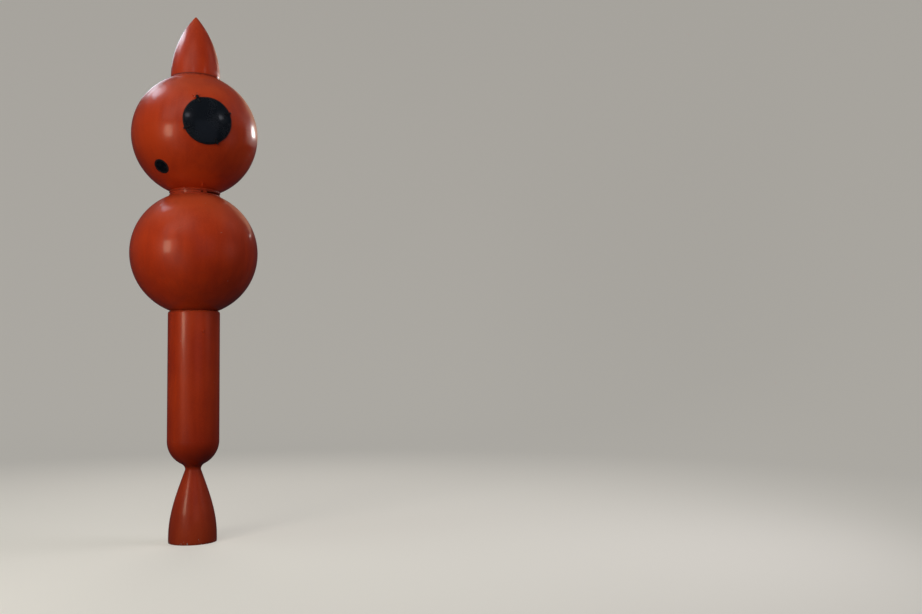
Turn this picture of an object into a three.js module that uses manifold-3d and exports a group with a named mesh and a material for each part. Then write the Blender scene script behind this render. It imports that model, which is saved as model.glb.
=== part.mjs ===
// A crewed space rocket, standing on its nozzle: nose cone, round cabin, round tank, motor, bell.
// Millimetres, +Z up. Origin at the centre of the nozzle exit, on the floor.
// -Y is the side that the crew hatch faces, and +X is then on the viewer's right.
import * as THREE from 'three';
import { mergeVertices } from 'three/addons/utils/BufferGeometryUtils.js';
import Module from 'manifold-3d';

const wasm = await Module();
wasm.setup();

// Driving dimensions
const total_height = 5485;
const cabin_radius = 641;
const cabin_z = 4209;
const tank_radius = 646;
const tank_z = 2968;
const motor_radius = 262;
const motor_top_z = 2366;
const dome_z = 1028;
const exit_radius = 241;
const wall = 15;              // cabin shell, laminate over foam
const bell_wall = 8;
const seat = 0.3;             // gap between pieces that rest on each other
const segments = 40;          // facets around the big turned pieces

// Nose
const nose_base_z = 4812;
const nose_radius = 251;
const tip = { radius: 8.7, below: 4.9 };  // where the rounded tip turns to face up
const ogive_share = 0.965;    // of the nose's height; the rest is the rounded tip
const collar_radius = 253.5;

// Neck between cabin and tank
const neck_radius = 250;
const neck_wall = 12;
const lip_radius = 258;
const lip_bottom_z = 3598;
const lip_top_z = 3611;
const neck_top_radius = 254;  // where the cabin is cut off flat for the neck
const tank_flange_radius = 260;
const tank_flange_height = 15;
const vent_z = 3583;
const vent_radius = 11;
const vent_azimuth = 5.5;
const slot_height = 17;
const slot_azimuths = [17, 79];

// Motor and nozzle
const shoulder = 28;
const case_gap = 0.4;         // between the case and the eyes' pads
const throat_radius = 79;
const throat_top_z = 772;
const throat_cone = { height: 12, widening: 1 };  // how the throat opens out under the boss
const throat_boss = { radius: 88, height: 14 };
const bell_top_z = 735;
// two points that draw the bell's side outwards, in [radius, z]: a straight cone, then upright
const bell_drawn_to = [[187, 435], [250, 255]];
const bell_steps = 10;

// Crew hatch, measured in a frame of its own with +Z out along the hatch's direction
const hatch_elevation = 2.4;
const hatch_radius = 241.5;
const hatch_crown = 648;      // distance from the cabin's centre to the top of the dome
const hatch_rim = 12;
const hatch_skin = 16;
const mouth_radius = 205;
const dish_margin = 10;       // flat ring between the cover's dished underside and the mouth
const coaming_depth = 24;
const coaming_gap = 0.8;      // between the coaming and the shell's cut edge
const cabin_gap = 0.5;        // between the cabin and the small pieces that stand on it
const clip_turn = 23.5;       // the four clips are a quarter turn apart, turned by this

// Clips: a strap across the hatch's rim, whose outer end lies on a keeper on the cabin
const strap = { length: 72, width: 20, thickness: 5, middle: 222.5, touches: 213 };
const keeper = { width: 12, middle: hatch_radius + 11.5 };

// Hinge: its axis is this far from the hatch's centre
const hinge_reach = 262;
const hinge = { lift: 2, side_gap: 1, pin_proud: 3, rim_clearance: 5 };
const knuckle_radius = 9;
const pin_radius = 4.7;
const bore_radius = 5.3;
const leaf_width = 24;
const ear_width = 12;
const bracket = { length: 34, width: 62, thickness: 8, offset: 28 };

// Small round port
const port_azimuth = -52.7;
const port_elevation = -40;
const port_radius = 81;
const port_rim = { width: 16, depth: 10, proud: 3, bevel: 1 };
const pane = { lift: 2, edge_below: 2, crown: 3, shoulder: 1, shoulder_share: 0.6 };

// Drilled eyes, each a lug on a round pad: three under the cabin and three high on the motor
const cabin_eye_elevation = -59.8;
const motor_eye_z = 2146;
const eye_azimuths = { cabin: [1.3, 146.3, 216.3], motor: [8.7, 148.7, 228.7] };
const lug = { thickness: 6, radius: 12, hole: 6.5, hole_height: 24, pad_radius: 16, pad_height: 4 };

// Cutting tools reach well past what they cut
const cutter = { place: [0, 0, 600], length: 300 };
const rod_sides = 20;
const port_sides = 24;
const hole_sides = 16;

// Colours from the photograph
const paint = { color: 0xb83a1c, roughness: 0.32, metalness: 0.0 };
const black_gloss = { color: 0x0b0f14, roughness: 0.12, metalness: 0.0 };
const dark_steel = { color: 0x15171a, roughness: 0.4, metalness: 0.6 };

const rad = THREE.MathUtils.degToRad;
const rocket = new THREE.Group();

// Solids. A geometry's shared vertices are merged, and triangles that close up on the axis go.
function solid(geometry) {
  const bare = geometry.clone();
  bare.deleteAttribute('normal');
  bare.deleteAttribute('uv');
  const merged = mergeVertices(bare, 1e-3);
  const index = merged.index.array;
  const kept = [];
  for (let i = 0; i < index.length; i += 3) {
    const [a, b, c] = [index[i], index[i + 1], index[i + 2]];
    if (a !== b && b !== c && c !== a) kept.push(a, b, c);
  }
  const vertProperties = new Float32Array(merged.attributes.position.array);
  const make = (triVerts) => new wasm.Manifold(
    new wasm.Mesh({ numProp: 3, vertProperties, triVerts: new Uint32Array(triVerts) }));
  const made = make(kept);
  if (made.volume() > 0) return made;
  const turned = [];
  for (let i = 0; i < kept.length; i += 3) turned.push(kept[i], kept[i + 2], kept[i + 1]);
  return make(turned);
}

function geometryOf(manifold) {
  const mesh = manifold.getMesh();
  const geometry = new THREE.BufferGeometry();
  geometry.setAttribute('position', new THREE.BufferAttribute(mesh.vertProperties, 3));
  geometry.setIndex(new THREE.BufferAttribute(mesh.triVerts, 1));
  return geometry;
}

function moved(manifold, matrix) {
  return solid(geometryOf(manifold).applyMatrix4(matrix));
}

// A profile of [radius, z] points, turned about the Z axis
function turned(profile, count = segments) {
  const points = profile.map(([radius, z]) => new THREE.Vector2(Math.max(radius, 0), z));
  return solid(new THREE.LatheGeometry(points, count).rotateX(Math.PI / 2));
}

// Points on a circle in the profile plane; angles in degrees, 0 outwards and 90 up
function arc(radius, z, size, from, to, steps) {
  const points = [];
  for (let i = 0; i <= steps; i += 1) {
    const angle = rad(from + (to - from) * i / steps);
    points.push([radius + size * Math.cos(angle), z + size * Math.sin(angle)]);
  }
  return points;
}

function block(x, y, z, place = [0, 0, 0]) {
  return solid(new THREE.BoxGeometry(x, y, z).translate(...place));
}

function rod(radius, length, sides, along, place = [0, 0, 0]) {
  const geometry = new THREE.CylinderGeometry(radius, radius, length, sides);
  if (along === 'z') geometry.rotateX(Math.PI / 2);
  if (along === 'x') geometry.rotateZ(Math.PI / 2);
  return solid(geometry.translate(...place));
}

function add(name, manifold, look, parent = rocket) {
  const mesh = new THREE.Mesh(geometryOf(manifold), new THREE.MeshStandardMaterial(look));
  mesh.name = name;
  parent.add(mesh);
}

// A group at height z on the axis whose +Z points out along an azimuth (from -Y towards +X)
// and an elevation, and whose +Y stays up
function facing(azimuth, elevation, z) {
  const turn = new THREE.Group();
  turn.position.z = z;
  turn.rotation.z = rad(azimuth);
  const tilt = new THREE.Group();
  tilt.rotation.x = rad(90 - elevation);
  turn.add(tilt);
  rocket.add(turn);
  rocket.updateMatrixWorld(true);
  return tilt;
}

const intoFrame = (manifold, group) => moved(manifold, group.matrixWorld.clone().invert());
const intoWorld = (manifold, group) => moved(manifold, group.matrixWorld);

// Nose cone: a tangent ogive with a rounded tip, over a collar that closes the cabin's top
function noseCone() {
  const length = total_height - nose_base_z;
  const ogive = (nose_radius ** 2 + length ** 2) / (2 * nose_radius);
  const profile = [[0, nose_base_z + seat]];
  const steps = 10;
  for (let i = 0; i <= steps; i += 1) {
    const up = length * ogive_share * i / steps;
    const radius = Math.sqrt(ogive ** 2 - up ** 2) + nose_radius - ogive;
    profile.push([radius, nose_base_z + seat + up]);
  }
  profile.push([tip.radius, total_height - tip.below], [0, total_height]);
  add('nose_cone', turned(profile), paint);
  const cut_z = cabin_z + Math.sqrt(cabin_radius ** 2 - nose_radius ** 2);
  add('nose_collar', turned([[0, cut_z + seat], [collar_radius, cut_z + seat],
    [collar_radius, nose_base_z], [0, nose_base_z]]), paint);
}

// The cabin is cut off flat for the collar above and for the neck below
const cut_up = THREE.MathUtils.radToDeg(Math.acos(nose_radius / cabin_radius));
const cut_down = THREE.MathUtils.radToDeg(Math.acos(neck_top_radius / cabin_radius));
const cabin_rows = 9;

// The cabin's whole round, a little larger, for cutting what is seated on it
function cabinRound(size) {
  const below = arc(0, cabin_z, size, -cut_down, 0, cabin_rows);
  const above = arc(0, cabin_z, size, 0, cut_up, cabin_rows).slice(1);
  return turned([[0, below[0][1]], ...below, ...above, [0, above[cabin_rows - 1][1]]]);
}

// Two halves, joined at the equator
function cabinShell(hatch, port) {
  const inner = cabin_radius - wall;
  const half = (cut) => {
    const outside = arc(0, cabin_z, cabin_radius, 0, cut, cabin_rows);
    const inside = arc(0, cabin_z, inner, 0, cut, cabin_rows);
    const lift = Math.sign(cut) * seat / 2;
    outside[0][1] += lift;
    inside[0][1] += lift;
    inside[cabin_rows][1] = outside[cabin_rows][1];
    return turned([...outside, ...inside.reverse(), outside[0]]);
  };
  const mouth = intoWorld(rod(hatch_radius, cutter.length, segments, 'z', cutter.place), hatch);
  const hole = intoWorld(rod(port_radius + seat, cutter.length, port_sides, 'z', cutter.place), port);
  add('cabin_upper_shell', half(cut_up).subtract(mouth), paint);
  add('cabin_lower_shell', half(-cut_down).subtract(mouth).subtract(hole), paint);
}

const hatch = facing(0, hatch_elevation, cabin_z);
const port = facing(port_azimuth, port_elevation, cabin_z);
noseCone();
cabinShell(hatch, port);

// Hatch: a coaming in the mouth, and a domed cover that closes on the coaming's flat face
const seat_height = Math.sqrt(cabin_radius ** 2 - hatch_radius ** 2);
const rim_top = seat_height + hatch_rim;
const dome_rise = hatch_crown - rim_top;
const dome_radius = (hatch_radius ** 2 + dome_rise ** 2) / (2 * dome_rise);
const domeHeight = (radius) => hatch_crown - dome_radius + Math.sqrt(dome_radius ** 2 - radius ** 2);

function crewHatch() {
  const coaming_bottom = seat_height - coaming_depth;
  const coaming_top = seat_height - seat;
  const coaming_radius = hatch_radius - coaming_gap;
  add('hatch_coaming', turned([[mouth_radius, coaming_bottom], [coaming_radius, coaming_bottom],
    [coaming_radius, coaming_top], [mouth_radius, coaming_top], [mouth_radius, coaming_bottom]]),
  paint, hatch);
  // the cover's underside is dished inside the mouth and flat around it
  const dish = mouth_radius - dish_margin;
  const dish_top = hatch_crown - hatch_skin;
  const dish_rise = dish_top - seat_height - seat;
  const dish_radius = (dish ** 2 + dish_rise ** 2) / (2 * dish_rise);
  const dish_steps = 5;
  const profile = [[0, dish_top]];
  for (let i = 1; i <= dish_steps; i += 1) {
    const radius = dish * i / dish_steps;
    profile.push([radius, dish_top - dish_radius + Math.sqrt(dish_radius ** 2 - radius ** 2)]);
  }
  const chamfer = 1.6;
  profile.push([hatch_radius - chamfer, seat_height + seat], [hatch_radius, seat_height + seat + chamfer]);
  const dome_steps = 6;
  for (let i = 0; i <= dome_steps; i += 1) {
    const radius = hatch_radius * (1 - i / dome_steps);
    profile.push([radius, domeHeight(radius)]);
  }
  add('crew_hatch', turned(profile), black_gloss, hatch);
}
crewHatch();

// A strap lies flat on the dome, at the slope that the dome has under it. Its gap to the dome is a
// little wider than a seat, because the dome bulges between the strap's ends.
// Local +X is away from the hatch's centre.
const strap_gap = seat + 0.2;
const strap_start = strap.middle - strap.length / 2;
const strap_fall = domeHeight(strap_start) - domeHeight(hatch_radius);
const strap_slope = Math.atan2(strap_fall, hatch_radius - strap_start);

function strapSolid() {
  const matrix = new THREE.Matrix4().makeRotationY(strap_slope);
  const flat = block(strap.length, strap.width, strap.thickness,
    [strap.middle - strap.touches, 0, strap.thickness / 2]);
  return moved(flat, matrix.setPosition(strap.touches, 0, domeHeight(strap.touches) + strap_gap));
}

function clipFrame(angle) {
  const frame = new THREE.Group();
  frame.rotation.z = rad(angle);
  hatch.add(frame);
  rocket.updateMatrixWorld(true);
  return frame;
}

const grown_cabin = cabinRound(cabin_radius + cabin_gap);

// Three latches; each strap's end lies on a keeper block that stands on the cabin
for (let i = 0; i < 3; i += 1) {
  const frame = clipFrame(clip_turn - 90 * i);
  const bar = strapSolid();
  add(`hatch_latch_${i + 1}`, bar, dark_steel, frame);
  const under = bar.boundingBox().min[2] - strap_gap;
  const post_height = 60;  // its foot is then cut off along the cabin's round
  const post = block(keeper.width, strap.width, post_height, [keeper.middle, 0, under - post_height / 2]);
  add(`latch_keeper_${i + 1}`, post.subtract(intoFrame(grown_cabin, frame)), paint, frame);
}

// Hinge: a bracket with two knuckles on the cabin, a leaf with one knuckle on the hatch, a pin
function hatchHinge() {
  const frame = clipFrame(clip_turn + 90);
  const axis = [hinge_reach, 0, rim_top + hinge.lift];
  const across = leaf_width / 2 + hinge.side_gap + ear_width / 2;
  const bore = rod(bore_radius, 4 * leaf_width, rod_sides, 'y', axis);
  const web = { length: 26, thickness: 6, lift: 5 };
  const beyond = 60;  // the strap ends at the pin
  const leaf = strapSolid()
    .subtract(block(beyond, beyond, beyond, [axis[0] + beyond / 2, 0, axis[2]]))
    .add(rod(knuckle_radius, leaf_width, rod_sides, 'y', axis))
    .add(block(web.length, strap.width, web.thickness, [axis[0] - web.length / 2, 0, axis[2] + web.lift]));
  add('hinge_leaf', leaf.subtract(bore), dark_steel, frame);

  // the bracket's plate leans on the round of the cabin, and its ears reach down to it
  const plate_centre = new THREE.Vector3(axis[0] + bracket.offset, 0, 0);
  plate_centre.z = Math.sqrt(cabin_radius ** 2 - plate_centre.x ** 2);
  const lean = Math.asin(plate_centre.x / cabin_radius);
  let solid_bracket = moved(block(bracket.length, bracket.width, bracket.thickness),
    new THREE.Matrix4().makeRotationY(lean).setPosition(plate_centre));
  const ear = { length: 26, height: 30, back: 2, up: 1 };
  for (const side of [-1, 1]) {
    const knuckle = rod(knuckle_radius, ear_width, rod_sides, 'y', [axis[0], side * across, axis[2]]);
    const web_block = block(ear.length, ear_width, ear.height,
      [axis[0] + ear.length / 2 - ear.back, side * across, axis[2] - ear.height / 2 + ear.up]);
    solid_bracket = solid_bracket.add(knuckle).add(web_block);
  }
  const clear_rim = rod(hatch_radius + hinge.rim_clearance, cutter.length, segments, 'z', cutter.place);
  solid_bracket = solid_bracket.subtract(intoFrame(grown_cabin, frame)).subtract(bore).subtract(clear_rim);
  add('hinge_bracket', solid_bracket, paint, frame);
  const pin_length = 2 * (across + ear_width / 2 + hinge.pin_proud);
  add('hinge_pin', rod(pin_radius, pin_length, rod_sides, 'y', axis), dark_steel, frame);
}
hatchHinge();

// Round port: a rim let into the shell, and a domed pane in the rim
function portWindow() {
  const outer = Math.sqrt(cabin_radius ** 2 - port_radius ** 2);
  const glass = port_radius - port_rim.width;
  const bottom = outer - port_rim.depth;
  const top = outer + port_rim.proud;
  add('porthole_rim', turned([[glass + seat, bottom], [port_radius - seat, bottom],
    [port_radius - seat, top], [glass + seat, top + port_rim.bevel], [glass + seat, bottom]],
  port_sides), dark_steel, port);
  add('porthole_pane', turned([[0, bottom + pane.lift], [glass, bottom + pane.lift],
    [glass, top - pane.edge_below], [glass * pane.shoulder_share, top + pane.shoulder],
    [0, top + pane.crown]], port_sides), black_gloss, port);
}
portWindow();

// Neck: a bulkhead with a lip under the cabin, a hollow ring, and a flange on the tank
function neck() {
  const cabin_cut = cabin_z - Math.sqrt(cabin_radius ** 2 - neck_top_radius ** 2);
  const inside = neck_radius - neck_wall;
  add('cabin_bulkhead', turned([[0, lip_bottom_z + seat], [lip_radius, lip_bottom_z + seat],
    [lip_radius, lip_top_z], [neck_radius, lip_top_z], [neck_radius, cabin_cut - seat],
    [0, cabin_cut - seat]]), paint);
  const tank_cut = tank_z + Math.sqrt(tank_radius ** 2 - tank_flange_radius ** 2);
  const flange_top = tank_cut + tank_flange_height;
  add('tank_flange', turned([[inside, tank_cut + seat], [tank_flange_radius, tank_cut + seat],
    [tank_flange_radius, flange_top], [inside, flange_top], [inside, tank_cut + seat]]), paint);
  const middle = (slot_azimuths[0] + slot_azimuths[1]) / 2;
  const sweep = slot_azimuths[1] - slot_azimuths[0];
  const slot_foot = vent_z - slot_height / 2;
  const slot_head = vent_z + slot_height / 2;
  const past = 20;
  const slot = turned([[inside - past, slot_foot], [neck_radius + past, slot_foot],
    [neck_radius + past, slot_head], [inside - past, slot_head], [inside - past, slot_foot]]);
  // the slot is the part of that ring inside a wedge about its middle azimuth
  const reach = 600;
  const wedge_height = 200;
  const wedge_shape = new THREE.Shape([new THREE.Vector2(0, 0),
    new THREE.Vector2(reach * Math.cos(rad(sweep / 2)), -reach * Math.sin(rad(sweep / 2))),
    new THREE.Vector2(reach, 0),
    new THREE.Vector2(reach * Math.cos(rad(sweep / 2)), reach * Math.sin(rad(sweep / 2)))]);
  const wedge = solid(new THREE.ExtrudeGeometry(wedge_shape, { depth: wedge_height, bevelEnabled: false })
    .rotateZ(rad(middle - 90)).translate(0, 0, vent_z - wedge_height / 2));
  const vent = solid(new THREE.CylinderGeometry(vent_radius, vent_radius, 4 * past, rod_sides)
    .translate(0, -neck_radius, 0).rotateZ(rad(vent_azimuth)).translate(0, 0, vent_z));
  const ring = turned([[inside, flange_top + seat], [neck_radius, flange_top + seat],
    [neck_radius, lip_bottom_z], [inside, lip_bottom_z], [inside, flange_top + seat]]);
  add('neck_ring', ring.subtract(slot.intersect(wedge)).subtract(vent), paint);
}
neck();

// Tank: a sphere cut off flat where the flange and the motor meet it
function tank() {
  const top = THREE.MathUtils.radToDeg(Math.acos(tank_flange_radius / tank_radius));
  const bottom_radius = motor_radius - shoulder;
  const bottom = THREE.MathUtils.radToDeg(Math.acos(bottom_radius / tank_radius));
  const rows = 16;
  const profile = arc(0, tank_z, tank_radius, -bottom, top, rows);
  add('tank', turned([[0, profile[0][1]], ...profile, [0, profile[rows][1]]]), paint);
  return profile[0][1];
}
const tank_bottom_z = tank();

// Motor: a straight case with a rounded shoulder, a round aft dome and the throat
function motor() {
  const top = Math.min(motor_top_z, tank_bottom_z) - seat;
  add('motor_case', turned([[0, dome_z + seat], [motor_radius, dome_z + seat],
    ...arc(motor_radius - shoulder, top - shoulder, shoulder, 0, 90, 4), [0, top]]), paint);
  const lowest = Math.asin((dome_z - throat_top_z - throat_boss.height) / motor_radius);
  add('motor_aft_dome', turned([[0, throat_top_z], [throat_boss.radius, throat_top_z],
    ...arc(0, dome_z, motor_radius, -THREE.MathUtils.radToDeg(lowest), 0, 9), [0, dome_z]]), paint);
  add('nozzle_throat', turned([[0, bell_top_z], [throat_radius, bell_top_z],
    [throat_radius + throat_cone.widening, throat_top_z - throat_cone.height],
    [throat_boss.radius, throat_top_z - seat],
    [0, throat_top_z - seat]]), paint);
}
motor();

// Nozzle bell: a smooth curve from the throat, nearly straight at first and upright at the exit
function bell() {
  const start = new THREE.Vector2(throat_radius, bell_top_z - seat);
  const [upper, lower] = bell_drawn_to.map(([radius, z]) => new THREE.Vector2(radius, z));
  const end = new THREE.Vector2(exit_radius, 0);
  const outside = new THREE.CubicBezierCurve(start, upper, lower, end).getPoints(bell_steps);
  const inside = outside.map((point, i) => {
    const before = outside[Math.max(i - 1, 0)];
    const after = outside[Math.min(i + 1, bell_steps)];
    const along = after.clone().sub(before).normalize();
    const at_end = i === 0 || i === bell_steps;
    const shift = at_end ? [-bell_wall, 0] : [along.y * bell_wall, -along.x * bell_wall];
    return [point.x + shift[0], point.y + shift[1]];
  });
  const outer = outside.map((point) => [point.x, point.y]);
  add('nozzle_bell', turned([...outer, ...inside.reverse(), outer[0]]), paint);
}
bell();

// An eye, cut off along the round body that it stands on
function eyeSolid(reach, under) {
  const eye = [0, 0, reach + lug.hole_height];
  const shank = block(lug.thickness, 2 * lug.radius, lug.hole_height, [0, 0, eye[2] - lug.hole_height / 2]);
  const pad = rod(lug.pad_radius, 2 * lug.pad_height, rod_sides, 'z', [0, 0, reach]);
  return pad.add(shank).add(rod(lug.radius, lug.thickness, rod_sides, 'x', eye))
    .subtract(rod(lug.hole, 3 * lug.thickness, hole_sides, 'x', eye)).subtract(under);
}

const grown_motor = motor_radius + case_gap;
const motor_round = turned([[0, dome_z], [grown_motor, dome_z],
  [grown_motor, motor_top_z - shoulder], [0, motor_top_z - shoulder]]);
eye_azimuths.cabin.forEach((azimuth, i) => {
  const frame = facing(azimuth, cabin_eye_elevation, cabin_z);
  add(`cabin_eye_${i + 1}`, eyeSolid(cabin_radius, intoFrame(grown_cabin, frame)), paint, frame);
});
eye_azimuths.motor.forEach((azimuth, i) => {
  const frame = facing(azimuth, 0, motor_eye_z);
  add(`motor_eye_${i + 1}`, eyeSolid(motor_radius, intoFrame(motor_round, frame)), paint, frame);
});

export default rocket;
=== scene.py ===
# %% [markdown]
# # A space rocket that stands on its nozzle
# The real object is a full-size craft of glass-fibre laminate, sprayed orange-red: a nose cone, a
# round crew cabin with a domed hatch and a small port, a round tank, a straight motor and a bell.
# Each piece was laid up in a mould, so this script makes the pieces one by one too.
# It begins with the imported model, a fixed frame of plain solids at their real size. Every finished
# piece is worked out in that frame, in metres, and takes the place of the plain one.

# %% Load the frame
import math

import bmesh
import bpy
import numpy as np
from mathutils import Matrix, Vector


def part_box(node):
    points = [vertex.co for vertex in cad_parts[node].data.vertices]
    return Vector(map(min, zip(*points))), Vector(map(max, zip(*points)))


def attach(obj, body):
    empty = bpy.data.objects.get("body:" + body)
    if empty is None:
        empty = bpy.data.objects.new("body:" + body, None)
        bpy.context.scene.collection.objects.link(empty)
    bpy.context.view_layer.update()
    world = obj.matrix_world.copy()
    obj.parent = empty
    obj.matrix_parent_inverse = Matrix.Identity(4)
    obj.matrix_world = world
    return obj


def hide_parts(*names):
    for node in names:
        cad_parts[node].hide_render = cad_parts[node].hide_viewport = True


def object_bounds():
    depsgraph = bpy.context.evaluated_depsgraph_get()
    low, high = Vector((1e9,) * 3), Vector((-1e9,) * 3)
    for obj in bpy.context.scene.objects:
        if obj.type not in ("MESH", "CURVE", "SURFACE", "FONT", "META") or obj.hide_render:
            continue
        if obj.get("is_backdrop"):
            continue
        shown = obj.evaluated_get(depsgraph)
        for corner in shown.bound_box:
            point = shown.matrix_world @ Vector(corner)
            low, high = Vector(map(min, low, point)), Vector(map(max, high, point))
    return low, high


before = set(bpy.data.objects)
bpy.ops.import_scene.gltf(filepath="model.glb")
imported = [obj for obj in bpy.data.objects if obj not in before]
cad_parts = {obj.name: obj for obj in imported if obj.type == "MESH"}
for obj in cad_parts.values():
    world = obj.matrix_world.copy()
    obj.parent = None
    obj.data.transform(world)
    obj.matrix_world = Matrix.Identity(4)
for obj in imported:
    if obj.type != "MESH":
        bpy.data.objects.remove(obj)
cad_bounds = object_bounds()
print("frame box:", [[round(value, 3) for value in corner] for corner in cad_bounds])

# %% [markdown]
# ## Sizes
# Heights come from the frame's pieces. The radii of the round bodies, and the directions in which
# the hatch, the port and the drilled eyes face, are the few driving values. A direction is an
# azimuth, counted from the front (-Y) towards +X, and an elevation above the horizon.

# %% Driving sizes


def low(node):
    """Height of the lowest point of a frame piece."""
    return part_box(node)[0].z


def high(node):
    """Height of the highest point of a frame piece."""
    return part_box(node)[1].z


cabin_radius = 0.641
cabin_z = 4.209
tank_radius = 0.646
tank_z = 2.968
motor_radius = 0.262
nose_radius = 0.251
collar_radius = 0.2535
neck_radius = 0.250
lip_radius = 0.258
neck_top_radius = 0.254
flange_radius = 0.260
shell_wall = 0.015
neck_wall = 0.012
bell_wall = 0.008
motor_shoulder = 0.028
exit_radius = 0.241
throat_radius = 0.079
hatch_direction = (0.0, 2.4)
hatch_radius = 0.2415
hatch_crown = 0.648
hatch_rim = 0.012
mouth_radius = 0.205
clip_turn = 23.5
port_direction = (-52.7, -40.0)
port_radius = 0.081
print("cabin, tank and motor are", 2 * cabin_radius, 2 * tank_radius, 2 * motor_radius, "m across")

# %% [markdown]
# ## The camera
# The camera stands about ten metres off at eye level, a little to the left of where the hatch faces.
# The rocket is left of the picture's middle, so the camera looks past it. A Track To constraint could
# aim it, but not with a roll of its own. So its axes are built from heading, pitch and roll, knowing
# that a camera looks along its own -Z, and a lens in pixels is turned into millimetres on a sensor
# 36 mm wide.

# %% Place the camera
picture_width = 922
lens_pixels = 970
camera_distance = 10.449
camera_azimuth = math.radians(-11.1)
eye_height = 1.75
heading = math.radians(26.514)
pitch = math.radians(3.572)
roll = math.radians(-0.610)

camera = bpy.data.objects.new("camera", bpy.data.cameras.new("camera"))
bpy.context.scene.collection.objects.link(camera)
forward = np.array([
    math.sin(heading) * math.cos(pitch),
    math.cos(heading) * math.cos(pitch),
    math.sin(pitch),
])
level = np.array([math.cos(heading), -math.sin(heading), 0.0])
camera_right = math.cos(roll) * level + math.sin(roll) * np.cross(level, forward)
camera_turn = np.eye(4)
camera_turn[:3, :3] = np.stack([camera_right, np.cross(camera_right, forward), -forward], axis=1)
camera_turn[:3, 3] = [
    camera_distance * math.sin(camera_azimuth),
    -camera_distance * math.cos(camera_azimuth),
    eye_height,
]
camera.matrix_world = camera_turn.T.tolist()
camera.data.sensor_width = 36.0
camera.data.lens = lens_pixels * camera.data.sensor_width / picture_width
bpy.context.scene.camera = camera
print("lens:", round(camera.data.lens, 1), "mm")

# %% [markdown]
# ## From arrays to a mesh
# A piece is one or more grids of points. It could be built face by face, but numpy works a whole grid
# out at once. This cell numbers the corners of the grid's quads and makes a mesh of both. Points that
# fall together, at a pole or where a grid closes on itself, are merged, faces are turned outwards, and
# sharp edges stay crisp.

# %% Grids of points
crisp_angle = math.radians(40)
merge_distance = 2e-6


def quads(rows, columns, first):
    """Corner numbers of the quads between neighbouring rows and columns of a grid."""
    corner = first + np.arange(rows - 1)[:, None] * columns + np.arange(columns - 1)[None, :]
    around = [corner, corner + 1, corner + columns + 1, corner + columns]
    return np.stack(around, axis=-1).reshape(-1, 4)


def close_up(mesh):
    """Merges points that fall together, turns the faces outwards and keeps sharp edges crisp."""
    work = bmesh.new()
    work.from_mesh(mesh)
    bmesh.ops.remove_doubles(work, verts=work.verts, dist=merge_distance)
    bmesh.ops.recalc_face_normals(work, faces=work.faces)
    work.to_mesh(mesh)
    work.free()
    mesh.shade_smooth()
    mesh.set_sharp_from_angle(angle=crisp_angle)


def piece(name, grids, finishes, body="rocket", slot="hull_paint", stands_for=()):
    """A piece from grids of points. A grid wears the first finish, and (grid, 1) wears the second."""
    points = []
    corners = []
    worn = []
    first = 0
    for entry in grids:
        grid, finish = entry if isinstance(entry, tuple) else (entry, 0)
        rows, columns = grid.shape[:2]
        points.append(grid.reshape(-1, 3))
        corners.append(quads(rows, columns, first))
        worn.append(np.full(len(corners[-1]), finish))
        first += rows * columns
    points = np.concatenate(points).astype(np.float32)
    corners = np.concatenate(corners).astype(np.int32)
    mesh = bpy.data.meshes.new(name)
    mesh.vertices.add(len(points))
    mesh.vertices.foreach_set("co", points.ravel())
    mesh.loops.add(corners.size)
    mesh.loops.foreach_set("vertex_index", corners.ravel())
    mesh.polygons.add(len(corners))
    mesh.polygons.foreach_set("loop_start", np.arange(0, corners.size, 4, dtype=np.int32))
    mesh.polygons.foreach_set("material_index", np.concatenate(worn).astype(np.int32))
    mesh.update(calc_edges=True)
    close_up(mesh)
    for finish in finishes:
        mesh.materials.append(finish)
    made = bpy.data.objects.new(name, mesh)
    bpy.context.scene.collection.objects.link(made)
    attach(made, body)
    if stands_for:
        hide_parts(*stands_for)
    print(f"{name}: {len(mesh.polygons)} faces")
    return made


print("edges that turn by more than", round(math.degrees(crisp_angle)), "degrees stay crisp")

# %% [markdown]
# ## Outlines and turned shapes
# Nearly everything here came off a turned mould, so the main shape is an outline carried round an
# axis. An outline is a few corners, each with the radius of its rounding: real laminate never has a
# knife edge, and a rounded edge catches the light as a fine line. A rounding is an arc that touches
# both sides of its corner. A Screw modifier could turn the outline too, but as an array the turned
# shape can also be drawn out into a slot or a lug.

# %% Rounded outlines


def unit(vector):
    """Vectors of length one, along the last axis."""
    return vector / np.linalg.norm(vector, axis=-1, keepdims=True)


def rounded(corners, steps=5):
    """Rows of (radius, height) from corners of (radius, height, rounding).

    A rounding is an arc of that size. It starts rounding / tan(half the corner's angle) before the
    corner, and its middle lies rounding / sin(half the angle) away, on the line that halves it.
    """
    corners = np.array(corners, float)
    rows = []
    for number, (radius, height, size) in enumerate(corners):
        here = np.array([radius, height])
        if size == 0:
            rows.append(here[None])
            continue
        before = unit(corners[number - 1, :2] - here)
        after = unit(corners[(number + 1) % len(corners), :2] - here)
        half = math.acos(np.clip(before @ after, -1, 1)) / 2
        middle = here + unit(before + after) * size / math.sin(half)
        first = here + before * size / math.tan(half) - middle
        last = here + after * size / math.tan(half) - middle
        share = np.linspace(0, 1, steps + 1)[:, None]
        sweep = math.pi - 2 * half
        arc = np.sin((1 - share) * sweep) * first + np.sin(share * sweep) * last
        rows.append(middle + arc / math.sin(sweep))
    return np.concatenate(rows)


def arc_rows(middle, size, start, end, steps):
    """Rows on a circle in the outline's plane: middle + size (cos a, sin a), a in degrees."""
    angle = np.radians(np.linspace(start, end, steps + 1))
    return np.array(middle) + size * np.stack([np.cos(angle), np.sin(angle)], axis=1)


def corners_of(rows, rounding=0.0):
    """Rows as corners, so that a curve can be a part of an outline."""
    return [(radius, height, rounding) for radius, height in rows]


def closed(rows):
    """An outline that ends where it began, for a ring."""
    return np.concatenate([rows, rows[:1]])


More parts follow.
